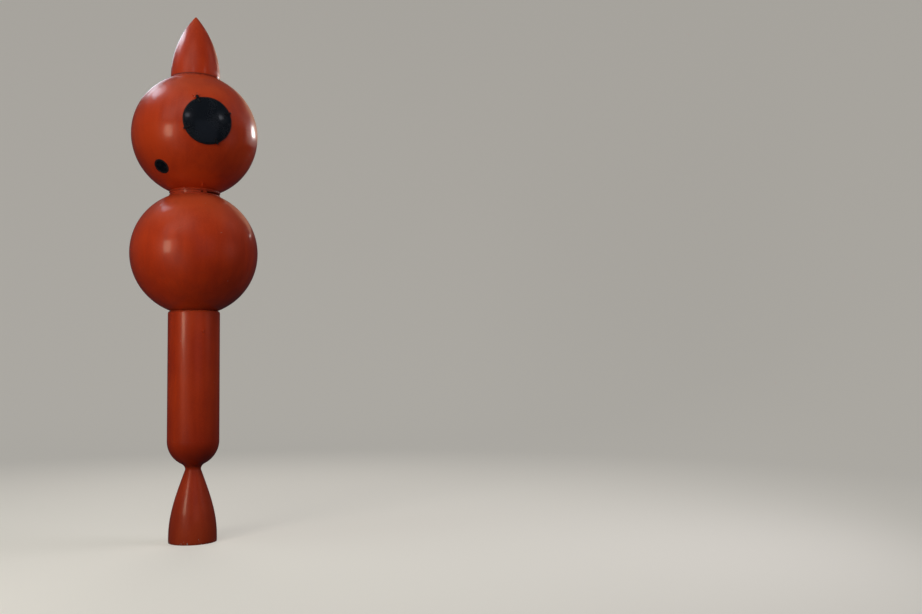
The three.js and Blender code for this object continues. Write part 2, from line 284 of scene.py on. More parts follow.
def turned(rows, columns=192, stretch=(0.0, 0.0), pull=None):
    """An outline carried round the axis: x = r sin a, y = -r cos a, z = height.

    With a stretch, the half at -y and the half at +y are drawn out by that much, which makes a
    slot-shaped plate or a lug. Pull says for each row how much of the stretch it takes.
    """
    front = np.linspace(-90, 90, columns // 2 + 1)
    angle = np.radians(np.concatenate([front, front + 180, front[:1]]))
    drawn = np.repeat([-stretch[0], stretch[1]], len(front))
    drawn = np.append(drawn, drawn[0])
    radius, height = np.asarray(rows).T
    share = np.ones(len(radius)) if pull is None else np.asarray(pull, float)
    across = np.outer(radius, np.sin(angle))
    along = np.outer(share, drawn) - np.outer(radius, np.cos(angle))
    return np.stack([across, along, np.repeat(height[:, None], len(angle), axis=1)], axis=-1)


print("a rounded corner becomes", len(rounded([(0, 0, 0), (1, 0, 0.1), (1, 1, 0)])) - 2, "rows")

# %% [markdown]
# ## Places on a round body
# The hatch, the port and the eyes each face out from the rocket's axis in a direction of their own.
# A place is three axes (right, up, out) and an origin. A part could be turned as an object, but then
# the paint's pattern would turn with it. So a small shape is made about its own origin, with z
# pointing out, and then carried to its place as one array.

# %% Places


def toward(azimuth, elevation):
    """Directions for angles in degrees: (cos e sin a, -cos e cos a, sin e)."""
    azimuth, elevation = np.broadcast_arrays(np.radians(azimuth), np.radians(elevation))
    flat = np.cos(elevation)
    return np.stack([flat * np.sin(azimuth), -flat * np.cos(azimuth), np.sin(elevation)], axis=-1)


def facing(direction, height):
    """Axes and origin of what faces a direction, seen from a height on the rocket's axis.

    Out is that direction, right is level and square to it, and up is square to both.
    """
    right = toward(direction[0] + 90, 0.0)
    out = toward(*direction)
    return np.stack([right, np.cross(out, right), out]), np.array([0.0, 0.0, height])


def spun(place, angle):
    """The same place, turned about its outward axis by an angle in degrees."""
    (right, up, out), origin = place
    angle = math.radians(angle)
    new_right = math.cos(angle) * right + math.sin(angle) * up
    return np.stack([new_right, np.cross(out, new_right), out]), origin


def shifted(place, x, y, z, lean=0.0):
    """A place moved along its own axes, then leant about its second axis by an angle in degrees."""
    axes, origin = place
    origin = origin + np.array([x, y, z]) @ axes
    right, up, out = axes
    lean = math.radians(lean)
    new_right = math.cos(lean) * right - math.sin(lean) * out
    return np.stack([new_right, up, np.cross(new_right, up)]), origin


def put(grid, place):
    """A grid of local points carried to a place: origin + x right + y up + z out."""
    axes, origin = place
    return origin + grid @ axes


hatch_place = facing(hatch_direction, cabin_z)
port_place = facing(port_direction, cabin_z)
print("the hatch faces", hatch_place[0][2].round(3), "and the port", port_place[0][2].round(3))

# %% [markdown]
# ## Node maths written as Python
# A finish is a small sum over the surface, such as "paint, a little darker near a joint". Its nodes
# could be made and linked one by one, which soon hides the sum. Here a Signal wraps one output of a
# node, and arithmetic on it adds Math nodes, so a sum reads as a line of Python. Every other kind of
# node comes from one method.

# %% Signals


class Signal:
    """One output of a node in a material that is being made."""

    def __init__(self, tree, socket=None):
        self.tree = tree
        self.socket = socket

    def node(self, kind, values, output=0, **settings):
        """Adds a node: its settings first, then a value or a signal for each named socket."""
        made = self.tree.nodes.new(kind)
        for key, value in settings.items():
            setattr(made, key, value)
        for key, value in values.items():
            if isinstance(value, Signal):
                self.tree.links.new(value.socket, made.inputs[key])
            else:
                made.inputs[key].default_value = value
        return Signal(self.tree, made.outputs[output])

    def maths(self, operation, first, second=0.0):
        """A Math node on numbers or signals."""
        return self.node("ShaderNodeMath", {0: first, 1: second}, operation=operation)

    def __add__(self, other):
        return self.maths("ADD", self, other)

    __radd__ = __add__

    def __sub__(self, other):
        return self.maths("SUBTRACT", self, other)

    def __rsub__(self, other):
        return self.maths("SUBTRACT", other, self)

    def __mul__(self, other):
        return self.maths("MULTIPLY", self, other)

    __rmul__ = __mul__

    def __abs__(self):
        return self.maths("ABSOLUTE", self)

    def fade(self, start, end):
        """0 at start and 1 at end, with a soft beginning and end."""
        values = {"Value": self, "From Min": start, "From Max": end}
        return self.node("ShaderNodeMapRange", values, interpolation_type="SMOOTHSTEP")

    def near(self, value, width):
        """1 at a value, and 0 beyond a width above or below it."""
        return 1 - abs(self - value).fade(0.0, width)

    def blend(self, first, second):
        """A colour between two, by this signal."""
        values = {0: self, 6: first, 7: second}
        return self.node("ShaderNodeMix", values, output=2, data_type="RGBA")


class Finish:
    """A Principled material. Constants go straight onto the shader's own sockets."""

    def __init__(self, name, **constants):
        self.material = bpy.data.materials.new(name)
        self.material.use_nodes = True
        self.paper = Signal(self.material.node_tree)
        self.shader = self.material.node_tree.nodes["Principled BSDF"]
        for key, value in constants.items():
            self.shader.inputs[key.replace("_", " ")].default_value = value
        self.place = self.paper.node("ShaderNodeTexCoord", {}, output="Object")

    def upright(self, output):
        """The z part of a texture coordinate: of Object the height, of Normal how far it faces up."""
        coordinate = self.paper.node("ShaderNodeTexCoord", {}, output=output)
        return self.paper.node("ShaderNodeSeparateXYZ", {0: coordinate}, output="Z")

    def noise(self, scale, detail=2.0, stretch=(1.0, 1.0, 1.0), turn=(0.0, 0.0, 0.0)):
        """Soft noise, about 0.5 on average, stretched along axes that may be turned first."""
        values = {"Vector": self.place, "Scale": stretch, "Rotation": turn}
        moved = self.paper.node("ShaderNodeMapping", values, vector_type="TEXTURE")
        return self.paper.node("ShaderNodeTexNoise", {"Vector": moved, "Scale": scale, "Detail": detail})

    def feed(self, **signals):
        """Links signals to the shader's sockets."""
        for key, value in signals.items():
            socket = self.shader.inputs[key.replace("_", " ")]
            self.material.node_tree.links.new(value.socket, socket)

    def relief(self, *layers):
        """Bump from (signal, depth in metres) layers, one on top of the other."""
        normal = None
        for signal, depth in layers:
            values = {"Height": signal, "Distance": depth}
            if normal is not None:
                values["Normal"] = normal
            normal = self.paper.node("ShaderNodeBump", values)
        self.feed(Normal=normal)

    def scratches(self, scale, stretch, turn, width):
        """Thin lines, where a stretched noise passes through its middle value."""
        return self.noise(scale, 1.0, stretch, turn).near(0.5, width)


# %% [markdown]
# ## The enamel
# The hull is sprayed orange-red. The enamel shines softly: a thin clear layer on top gives small
# crisp lights, and the colour below it gives broad blurred ones. One flat colour would look like new
# plastic, so the tone drifts over half a metre, faint runs hang down, and dirt gathers where two
# pieces meet. Light and shade are painted into the colour too: what faces up is paler, from dust
# and from painted light from above; the groove between nose cone and collar is painted dark as its
# shadow; and the bell turns darker and greyer towards the floor, from floor dust and from painted
# shade and a painted reflection of the floor. Its foot is chipped down to grey filler. The bump holds
# the slow waves of hand-laid laminate and the fine skin that a spray gun leaves.

# %% Enamel
red_deep = (0.410, 0.028, 0.0038, 1)
red_bright = (0.570, 0.048, 0.0052, 1)
# paler orange: dust, and painted light on what faces up; it also tints the pale scratch marks
pale_dust_and_top_light = (0.420, 0.170, 0.090, 1)
# dark: dirt at the seams, and the painted shadow in the groove between nose cone and collar
dirt_and_seam_shadow_tint = (0.060, 0.012, 0.007, 1)
filler_grey = (0.400, 0.370, 0.330, 1)
# darker grey near the floor: floor dust, and painted shade and a painted reflection of the floor
floor_dust_and_shade_tint = (0.100, 0.085, 0.050, 1)
foot_height = 0.10
# how high the floor dust and the painted shade near the floor reach
floor_dust_and_shade_height = 0.75
# width of the painted shadow in the groove between nose cone and collar
nose_seam_shadow_width = 0.008
lip_depth = 0.018
seam_heights = {
    # where the dirt gathers: its height, and how far it reaches up and down
    "nose cone on its collar": (low("nose_cone"), 0.012),
    "collar on the cabin": (low("nose_collar"), 0.018),
    "lip under the cabin": (high("cabin_bulkhead") - lip_depth, 0.016),
    "neck on the tank": (low("neck_ring"), 0.022),
    "tank on the motor": (high("motor_case"), 0.020),
    "throat": (high("nozzle_throat"), 0.030),
    "bell's rim": (low("nozzle_bell"), 0.030),
}


def enamel():
    """The hull's orange-red paint."""
    paint = Finish("orange-red enamel", IOR=1.5, Coat_Roughness=0.12, Coat_IOR=1.5)
    height = paint.upright("Object")
    facing_up = paint.upright("Normal")
    drift = paint.noise(1.45, 3.0)
    runs = paint.noise(15.0, 3.0, stretch=(1.0, 1.0, 10.0))
    speckle = paint.noise(60.0, 3.0)
    patches = paint.noise(2.6, 2.0, stretch=(1.0, 1.0, 1.6)).fade(0.56, 0.60)

    # dust on what faces up, and painted light from above: upward faces turn a paler orange
    dust = facing_up.fade(0.15, 0.95) * (speckle * 0.5 + drift * 0.5).fade(0.30, 0.75)
    seams = 0.0
    for seam_height, width in seam_heights.values():
        seams = height.near(seam_height, width) + seams
    dirt = seams * speckle.fade(0.30, 0.65)
    # painted shadow: the groove between nose cone and collar is painted dark
    nose_seam_shadow = height.near(low("nose_cone"), nose_seam_shadow_width)
    foot = 1 - height.fade(0.0, foot_height)
    # darker and greyer towards the floor: floor dust, and painted shade and painted floor reflection
    floor_dust_and_shade = (1 - height.fade(foot_height, floor_dust_and_shade_height)) * (0.40 + runs * 0.90)
    chips = (paint.noise(38.0, 4.0) + foot * 0.16).fade(0.775, 0.785)
    marks = paint.scratches(5.0, (1.0, 1.0, 9.0), (0.3, 0.5, 0.0), 0.004)
    marks = marks * paint.noise(2.1).fade(0.55, 0.62)

    tone = (drift * 0.6 + runs * 0.25 + speckle * 0.15).fade(0.36, 0.64)
    colour = tone.blend(red_deep, red_bright)
    colour = (patches * 0.12).blend(colour, red_deep)
    # paler orange on upward faces: dust and painted light from above
    colour = (dust * 0.30).blend(colour, pale_dust_and_top_light)
    colour = (dirt * 0.55).blend(colour, dirt_and_seam_shadow_tint)
    # painted shadow in the groove between nose cone and collar
    colour = (nose_seam_shadow * 0.85).blend(colour, dirt_and_seam_shadow_tint)
    colour = (marks * 0.25).blend(colour, pale_dust_and_top_light)
    # floor dust, and painted shade and a painted reflection of the floor, low on the bell
    colour = (floor_dust_and_shade * 0.15).blend(colour, floor_dust_and_shade_tint)
    colour = chips.blend(colour, filler_grey)
    paint.feed(
        Base_Color=colour,
        Roughness=0.33 + runs * 0.08 + patches * 0.05 + dust * 0.20 + dirt * 0.25 + chips * 0.35,
        Coat_Weight=(0.60 - dust * 0.35 - dirt * 0.45 - patches * 0.08) * (1 - chips),
    )
    waves = paint.noise(3.2, 1.0)
    skin = paint.noise(420.0, 1.0)
    paint.relief((waves, 0.0014), (patches, 0.00006), (skin, 0.00004), (chips, -0.0004))
    return paint.material


hull = enamel()
print("seams that gather dirt:", ", ".join(seam_heights))

# %% [markdown]
# ## Black parts
# The hatch and the port are black. The hatch's dome is a smooth moulding, nearly a mirror, with a
# little dust and wiping marks. Its clips and hinge are steel under black paint, which has worn off at
# the edges. The wear could be painted on by hand, but Pointiness finds it on any shape: it tells where
# a surface bends sharply outwards, and noise breaks that line up, as real wear is never even.

# %% Black gloss and black steel
black_blue = (0.0045, 0.0060, 0.0090, 1)
grey_dust = (0.060, 0.062, 0.066, 1)
worn_steel = (0.20, 0.19, 0.18, 1)
black_paint = (0.006, 0.006, 0.007, 1)
black_faded = (0.016, 0.016, 0.018, 1)


def gloss_black():
    """The dome of the hatch."""
    finish = Finish("black gloss", IOR=1.5, Coat_Roughness=0.06)
    cloud = finish.noise(5.0, 4.0)
    grain = finish.noise(90.0, 3.0)
    wiped = finish.scratches(6.0, (6.0, 1.0, 1.0), (0.0, 0.6, 0.9), 0.006)
    wiped = wiped * cloud.fade(0.50, 0.65)
    dust = cloud.fade(0.42, 0.75) * grain.fade(0.35, 0.70)
    colour = (dust * 0.22).blend(black_blue, grey_dust)
    colour = (wiped * 0.20).blend(colour, grey_dust)
    finish.feed(
        Base_Color=colour,
        Roughness=0.20 + cloud * 0.10 + dust * 0.15 + wiped * 0.20,
        Coat_Weight=0.45 - dust * 0.30,
    )
    finish.relief((finish.noise(4.0, 1.0), 0.0008), (grain, 0.00002))
    return finish.material


def black_steel():
    """Painted steel, bare where it is touched and knocked."""
    finish = Finish("black painted steel", IOR=1.5)
    edge = finish.paper.node("ShaderNodeNewGeometry", {}, output="Pointiness")
    broken = finish.noise(160.0, 4.0)
    worn = (edge.fade(0.52, 0.62) * 0.5 + broken * 0.75).fade(0.72, 0.78)
    grain = finish.noise(900.0, 2.0)
    finish.feed(
        Base_Color=worn.blend(broken.blend(black_paint, black_faded), worn_steel),
        Metallic=worn,
        Roughness=0.50 + grain * 0.12 - worn * 0.12,
    )
    finish.relief((grain, 0.00005), (worn, -0.00008))
    return finish.material


gloss = gloss_black()
steel = black_steel()
print("black finishes:", gloss.name, "and", steel.name)

# %% [markdown]
# ## Bare steel, rubber and glass
# The hinge pin is bare zinc-plated steel, the seals are rubber, and the port's pane is dark glass.
# Each one is small, so turning marks or a bloom of dust are enough to tell them apart. The pane could
# be clear glass before a dark inside, but an opaque dark gloss looks the same from out here.

# %% Pin steel, rubber and pane
zinc_light = (0.62, 0.61, 0.58, 1)
zinc_dark = (0.36, 0.36, 0.37, 1)
rubber_black = (0.013, 0.013, 0.014, 1)
pane_black = (0.0030, 0.0045, 0.0070, 1)


def plated_steel():
    """Zinc plating with fine turning marks."""
    finish = Finish("zinc-plated steel", Metallic=1.0)
    bloom = finish.noise(120.0, 4.0)
    turning = finish.noise(1400.0, 1.0, stretch=(1.0, 1.0, 6.0))
    finish.feed(
        Base_Color=bloom.fade(0.35, 0.65).blend(zinc_dark, zinc_light),
        Roughness=0.26 + bloom * 0.22,
    )
    finish.relief((turning, 0.00003))
    return finish.material


def rubber():
    """Black rubber with a bloom of dust."""
    finish = Finish("black rubber", IOR=1.45)
    dust = finish.noise(70.0, 4.0)
    finish.feed(
        Base_Color=(dust.fade(0.45, 0.75) * 0.5).blend(rubber_black, grey_dust),
        Roughness=0.62 + dust * 0.25,
    )
    finish.relief((finish.noise(600.0, 2.0), 0.00008))
    return finish.material


def dark_pane():
    """Smoked glass, nearly black."""
    finish = Finish("smoked glass", IOR=1.52)
    haze = finish.noise(30.0, 4.0)
    finish.feed(
        Base_Color=(haze.fade(0.45, 0.80) * 0.25).blend(pane_black, grey_dust),
        Roughness=0.06 + haze.fade(0.45, 0.80) * 0.20,
    )
    finish.relief((finish.noise(9.0, 1.0), 0.0004))
    return finish.material


zinc = plated_steel()
seal_rubber = rubber()
smoked = dark_pane()
print("small finishes:", zinc.name, seal_rubber.name, smoked.name)

# %% [markdown]
# ## Bare laminate
# Inside, the shells are unpainted glass fibre. Short strands lie in every direction in amber resin,
# which a roller has pressed flat. A woven pattern would be too regular for such a mat. Noise that is
# stretched along one axis gives strands that lie one way, so four of them, each turned on its own,
# give the tangle.

# %% Laminate
resin = (0.230, 0.130, 0.045, 1)
resin_pale = (0.300, 0.190, 0.080, 1)
strand_pale = (0.520, 0.420, 0.240, 1)
strand_turns = [(0.2, 0.1, 0.3), (1.3, 0.4, 0.9), (0.5, 1.2, 2.0), (2.2, 0.8, 1.4)]


def laminate():
    """Glass-fibre strands in resin."""
    finish = Finish("bare laminate", IOR=1.54)
    strands = 0.0
    for turn in strand_turns:
        strands = finish.noise(95.0, 2.0, (1.0, 1.0, 14.0), turn).fade(0.56, 0.64) + strands
    pool = finish.noise(7.0, 3.0)
    finish.feed(
        Base_Color=(strands * 0.45).blend(pool.blend(resin, resin_pale), strand_pale),
        Roughness=0.30 + strands * 0.18 + pool * 0.15,
    )
    finish.relief((pool, 0.002), (strands, 0.0004))
    return finish.material


bare_laminate = laminate()
print("laminate has", len(strand_turns), "sets of strands")

# %% [markdown]
# ## Nose cone and collar
# A plain cone would have straight sides, but the nose is a pointed arch turned about the axis: its
# side is an arc that rises straight up from the base, and a small round tip closes it. The arc's
# radius has to be one at which the arc and the tip meet with no corner, which gives the formula
# below. The collar is the low ring under it. Its foot runs out over the cabin in a fillet of filler,
# and its top edge is rounded, so that the line between nose and collar shows as a fine dark groove.
# The enamel also paints that line dark, as a painted shadow.

# %% Nose
tip_radius = 0.014
edge_round = 0.004


def ogive_rows(base, top, radius, tip, steps=40):
    """Rows up the side of a blunted arch. With h = top - base - tip, the side's radius is
    s = (h^2 + radius^2 - tip^2) / (2 (radius - tip)), and its middle lies s - radius beyond the axis.
    """
    rise = top - base - tip
    side = (rise**2 + radius**2 - tip**2) / (2 * (radius - tip))
    meet = math.degrees(math.atan2(rise, side - radius))
    flank = arc_rows((radius - side, base), side, 0, meet, steps)
    cap = arc_rows((0.0, base + rise), tip, meet, 90, 8)
    return np.concatenate([flank[1:], cap[1:]])


nose_base = low("nose_cone")
nose_top = high("nose_cone")
nose_side = ogive_rows(nose_base, nose_top, nose_radius, tip_radius)
nose_outline = rounded([(0, nose_base, 0), (nose_radius, nose_base, edge_round), *corners_of(nose_side)])
piece("nose_cone_skin", [turned(nose_outline)], [hull], stands_for=["nose_cone"])


def on_round(radius, size, middle):
    """Height of a round body's surface above a radius: middle + sqrt(size^2 - radius^2)."""
    return middle + math.sqrt(size**2 - radius**2)


fillet = 0.010
sunk = 0.0004
collar_foot = on_round(collar_radius, cabin_radius, cabin_z)
collar_toe = collar_radius + fillet * 1.3
collar_outline = rounded([
    (0, low("nose_collar"), 0),
    (collar_toe, on_round(collar_toe, cabin_radius, cabin_z) - sunk, 0),
    (collar_radius, collar_foot + 0.0006, fillet),
    (collar_radius, high("nose_collar"), edge_round),
    (0, high("nose_collar"), 0),
])
piece("nose_collar_skin", [turned(collar_outline)], [hull], stands_for=["nose_collar"])

# %% [markdown]
# ## The cabin's two halves
# Each half is a shell 15 mm thick with holes in it. A hole could be cut with a Boolean, which leaves
# long thin faces that shine wrongly. Instead the faces are laid out round the holes from the start:
# the skin between any two curves on the round is found by going straight from one to the other and
# pushing each point out to the cabin's radius. The upper half runs from the equator, and the hatch's
# upper edge, to the collar. The lower one does the same downwards, apart from a block of its own
# around the port. Solidify then gives the wall its thickness, and Bevel softens its edges.

# %% Curves on the round
half_gap = 0.00015
seam_tilt = math.degrees(half_gap / cabin_radius)
shell_edge = 0.0005


def hole_edge(place, radius, angle):
    """Directions to the circle of that radius on the cabin, at angles from right towards up.

    On the place's axes they are (r cos a, r sin a, sqrt(R^2 - r^2)), where R is the cabin's radius.
    """
    angle = np.radians(angle)
    out = np.full_like(angle, math.sqrt(cabin_radius**2 - radius**2))
    return unit(np.stack([radius * np.cos(angle), radius * np.sin(angle), out], axis=-1) @ place[0])


def skin(first, second, steps):
    """Cabin surface between two curves: unit((1 - t) first + t second), times the radius."""
    share = np.linspace(0, 1, steps + 1)[:, None, None]
    return np.array([0, 0, cabin_z]) + cabin_radius * unit((1 - share) * first + share * second)


def shell(name, grids, wall, **facts):
    """A skin with a wall behind it: enamel outside and on the edges, laminate inside."""
    made = piece(name, grids, [hull, bare_laminate], **facts)
    # an open skin has no inside of its own, so its faces are turned away from the rocket's axis
    outward = sum(face.normal.xy.dot(face.center.xy) for face in made.data.polygons)
    if outward < 0:
        made.data.flip_normals()
    solidify = made.modifiers.new("wall", "SOLIDIFY")
    solidify.thickness = wall
    solidify.offset = -1
    solidify.material_offset = 1
    solidify.material_offset_rim = 0
    bevel = made.modifiers.new("edges", "BEVEL")
    bevel.width = shell_edge
    bevel.segments = 2
    bevel.limit_method = "ANGLE"
    bevel.angle_limit = crisp_angle
    bevel.harden_normals = True
    return made


print("the halves are", 2 * half_gap * 1000, "mm apart at the equator")

# %% Upper half
cut_up = math.degrees(math.acos(nose_radius / cabin_radius))
cut_down = math.degrees(math.acos(neck_top_radius / cabin_radius))
hatch_out = math.sqrt(cabin_radius**2 - hatch_radius**2)
hatch_tilt = math.radians(hatch_direction[1])
corner_turn = -math.degrees(math.asin(hatch_out * math.tan(hatch_tilt) / hatch_radius))
corner_azimuth = math.degrees(math.acos(hatch_out / math.cos(hatch_tilt) / cabin_radius))
# how wide the columns over the hatch fan out at the collar, and those under it at the neck
crown_fan = 56.0
hatch_fan = 34.0
arc_steps = 72
round_steps = 150
rise_steps = 84


def joined(*curves):
    """Curves end to end, with each meeting point kept once."""
    return np.concatenate([curves[0]] + [curve[1:] for curve in curves[1:]])


round_share = np.linspace(corner_azimuth, 360 - corner_azimuth, round_steps + 1)
fan_share = np.linspace(crown_fan, 360 - crown_fan, round_steps + 1)
upper_start = joined(
    toward(round_share, seam_tilt),
    hole_edge(hatch_place, hatch_radius, np.linspace(180 - corner_turn, corner_turn, arc_steps + 1)),
)
upper_start[-1] = upper_start[0]
upper_end = joined(
    toward(fan_share, cut_up),
    toward(np.linspace(-crown_fan, crown_fan, arc_steps + 1), cut_up),
)
upper_half = skin(upper_start, upper_end, rise_steps)
shell("cabin_upper_skin", [upper_half], shell_wall, stands_for=["cabin_upper_shell"])

# %% Lower half, with a block round the port
block_left = -72.0
block_right = -34.0
block_right_foot = -44.0
beside_points = 10
block_top_points = 21
block_foot_points = 17
block_steps = 22

lower_turns = np.linspace(180 - corner_turn, 360 + corner_turn, arc_steps + 1)
lower_start = joined(
    toward(np.linspace(block_right, -corner_azimuth, beside_points), -seam_tilt),
    hole_edge(hatch_place, hatch_radius, lower_turns),
    toward(np.linspace(corner_azimuth, 360 + block_left, round_steps), -seam_tilt),
)
lower_end = joined(
    toward(np.linspace(block_right_foot, -hatch_fan, beside_points), -cut_down),
    toward(np.linspace(-hatch_fan, hatch_fan, arc_steps + 1), -cut_down),
    toward(np.linspace(hatch_fan, 360 + block_left, round_steps), -cut_down),
)
drop = np.linspace(0, 1, rise_steps + 1)[:, None]
block_edge = joined(
    toward(np.linspace(block_left, block_right, block_top_points), -seam_tilt),
    unit((1 - drop) * lower_start[0] + drop * lower_end[0]),
    toward(np.linspace(block_right_foot, block_left, block_foot_points), -cut_down),
    unit((1 - drop) * lower_end[-1] + drop * lower_start[-1]),
)
across, along, _ = port_place[0] @ block_edge.T
port_edge = hole_edge(port_place, port_radius, np.degrees(np.arctan2(along, across)))
lower_half = [skin(lower_start, lower_end, rise_steps), skin(port_edge, block_edge, block_steps)]
shell("cabin_lower_skin", lower_half, shell_wall, stands_for=["cabin_lower_shell"])

# %% [markdown]
# ## The hatch
# The hatch is a dome on a flat flange, which closes on a ring in the cabin's mouth. Seen from
# outside it nearly follows the cabin's round, a little flatter at its rim. Its edge carries a black
# band, and its flange has a groove below, into which a round rubber seal on the ring presses when it
# is shut. It could be cut from the cabin's own skin, but a real hatch is a moulding of its own, so
# all of it is turned about the direction in which it faces.

# %% Hatch sizes
seat_height = hatch_out
rim_top = seat_height + hatch_rim
dome_rise = hatch_crown - rim_top
dome_radius = (hatch_radius**2 + dome_rise**2) / (2 * dome_rise)
air = 0.0003
skin_depth = 0.016
dish_edge = mouth_radius - 0.010
band_edge = hatch_radius - 0.011
band_step = 0.0014
groove = (0.2145, 0.2275)
groove_depth = 0.006
ring_depth = 0.024
ring_play = 0.0008
seal_radius = 0.0042
hatch_columns = 256


def dome_height(radius):
    """Height of the dome above the cabin's middle, at a radius r: top - R + sqrt(R^2 - r^2)."""
    return hatch_crown - dome_radius + math.sqrt(dome_radius**2 - radius**2)


def cap_rows(edge, rise, top, steps):
    """Rows up a shallow dome: an arc through (edge, top - rise) and (0, top)."""
    size = (edge**2 + rise**2) / (2 * rise)
    start = math.degrees(math.acos(edge / size))
    return arc_rows((0.0, top - size), size, start, 90, steps)


print("the dome is part of a round of", round(dome_radius, 3), "m")

# %% Hatch
underside = seat_height + air
dish_top = hatch_crown - skin_depth
dish_rows = cap_rows(dish_edge, dish_top - underside, dish_top, 20)
flange_outline = rounded([
    *corners_of(dish_rows[::-1]),
    (groove[0], underside, 0.001),
    (groove[0], underside + groove_depth, 0.002),
    (groove[1], underside + groove_depth, 0.002),
    (groove[1], underside, 0.001),
    (hatch_radius, underside, 0.0015),
    (hatch_radius, rim_top - band_step, 0.003),
    (band_edge, dome_height(band_edge) - band_step, 0),
])
dome_foot = dome_height(band_edge)
dome_rows = cap_rows(band_edge, hatch_crown - dome_foot, hatch_crown, 40)
dome_outline = rounded([
    (band_edge, dome_foot - band_step, 0),
    (band_edge, dome_foot, 0.0008),
    *corners_of(dome_rows[1:]),
])
flange_grid = put(turned(flange_outline, hatch_columns), hatch_place)
dome_grid = put(turned(dome_outline, hatch_columns), hatch_place)
piece("hatch_dome", [(flange_grid, 1), dome_grid], [gloss, steel], body="hatch", slot="hatch_gloss",
      stands_for=["crew_hatch"])

# %% Ring and seal in the cabin's mouth
ring_bottom = seat_height - ring_depth
ring_edge = hatch_radius - ring_play
ring_outline = closed(rounded([
    (mouth_radius, ring_bottom, 0.002),
    (ring_edge, ring_bottom, 0.002),
    (ring_edge, seat_height - air, 0.0005),
    (mouth_radius, seat_height - air, 0.003),
]))
ring_grid = put(turned(ring_outline, hatch_columns), hatch_place)
piece("hatch_ring", [ring_grid], [hull], stands_for=["hatch_coaming"])

seal_middle = ((groove[0] + groove[1]) / 2, seat_height)
seal_outline = arc_rows(seal_middle, seal_radius, 0, 360, 12)
seal_grid = put(turned(seal_outline, hatch_columns), hatch_place)
piece("hatch_seal", [seal_grid], [seal_rubber], slot="dark_steel")

# %% [markdown]
# ## Clips and hinge
# Four flat straps lie across the hatch's rim, a quarter turn apart. Three are clips: the strap's
# outer end is screwed down on a short post on the cabin. The fourth is the hinge's leaf, whose end is
# rolled round a pin between the two ears of a bracket. What is fixed to the cabin was sprayed with
# it, so only the straps are black. A box with a bevel would have square ends. So a strap is a turned
# disc whose two halves are drawn apart, which keeps its edge rounded all the way round, and an ear is
# a ring of which only the outer edge is drawn out on one side, to its foot.

# %% Small fittings
strap_half = 0.010
strap_thick = 0.005
strap_middle = 0.2225
strap_stand = 0.213
strap_reach = 0.036
strap_edge = 0.0012
strap_gap = 0.0005
strap_start = strap_middle - strap_reach
strap_fall = dome_height(strap_start) - dome_height(hatch_radius)
strap_lean = math.degrees(math.atan2(strap_fall, hatch_radius - strap_start))
strap_lift = dome_height(strap_stand) + strap_gap
post_middle = hatch_radius + 0.0115
bolt_across = 0.010
bolt_height = 0.0055
screw_radius = 0.0034
screw_edge = 0.0009
small_columns = 48


def slab(radius, bottom, top, edge, stretch=(0.0, 0.0), columns=64):
    """A flat disc or slot-shaped plate with rounded edges."""
    outline = rounded([(0, bottom, 0), (radius, bottom, edge), (radius, top, edge), (0, top, 0)], 3)
    return turned(outline, columns, stretch)


def lug(hole, radius, half_width, foot):
    """A drilled ear: a ring round its hole, whose outside is drawn out on one side to its foot."""
    outline = closed(rounded([
        (hole, -half_width, 0.0006),
        (radius, -half_width, 0.0012),
        (radius, half_width, 0.0012),
        (hole, half_width, 0.0006),
    ], 3))
    pull = (outline[:, 0] > (hole + radius) / 2).astype(float)
    return turned(outline, small_columns, (foot, 0.0), pull)


def bolt(place):
    """A washer and a hexagon head with its corners turned off, as grids in the frame."""
    washer = slab(bolt_across * 0.72, 0, bolt_height * 0.22, bolt_height * 0.06, columns=32)
    turned_off = bolt_height * 0.16
    head = [
        (0, 0),
        (bolt_across / 2, 0),
        (bolt_across / 2, bolt_height - turned_off),
        (bolt_across / 2 - turned_off, bolt_height),
        (0, bolt_height),
    ]
    return [put(washer, place), put(turned(head, 6), place)]


def strap(place, reach, middle):
    """A strap that lies on the hatch's dome, out along the place's first axis."""
    leaning = shifted(place, strap_stand, 0, strap_lift, strap_lean)
    middle_place = shifted(leaning, middle - strap_stand, 0, 0)
    drawn = reach - strap_half
    flat = slab(strap_half, 0, strap_thick, strap_edge, (drawn, drawn))
    return put(flat, spun(middle_place, 90))


def on_strap(place, distance):
    """The place on top of the strap at that distance along it."""
    leaning = shifted(place, strap_stand, 0, strap_lift, strap_lean)
    return shifted(leaning, distance - strap_stand, 0, strap_thick)


print("a strap falls by", round(strap_lean, 1), "degrees towards the hatch's rim")

# %% Clips and their posts
clip_bolts = (strap_start + strap_half, post_middle - 0.001)
post_radius = 0.0059
post_depth = 0.010
post_drawn = 0.004
strap_end = strap_middle + strap_reach - strap_stand
post_top = strap_lift - strap_end * math.sin(math.radians(strap_lean)) - strap_gap
post_foot = on_round(post_middle, cabin_radius, 0.0)
post_outline = rounded([
    (0, post_foot - post_depth, 0),
    (post_radius + 0.0011, post_foot - post_depth, 0),
    (post_radius + 0.0029, post_foot - 0.001, 0),
    (post_radius, post_foot + 0.0015, 0.002),
    (post_radius, post_top, 0.001),
    (0, post_top, 0),
], 4)
post_grid = turned(post_outline, small_columns, (post_drawn, post_drawn))

for number in (1, 2, 3):
    place = spun(hatch_place, clip_turn - 90 * (number - 1))
    grids = [strap(place, strap_reach, strap_middle)]
    for distance in clip_bolts:
        grids += bolt(on_strap(place, distance))
    piece(f"clip_{number}", grids, [steel], body="hatch", slot="dark_steel",
          stands_for=[f"hatch_latch_{number}"])
    post = put(post_grid, shifted(place, post_middle, 0, 0))
    piece(f"clip_post_{number}", [post], [hull], stands_for=[f"latch_keeper_{number}"])

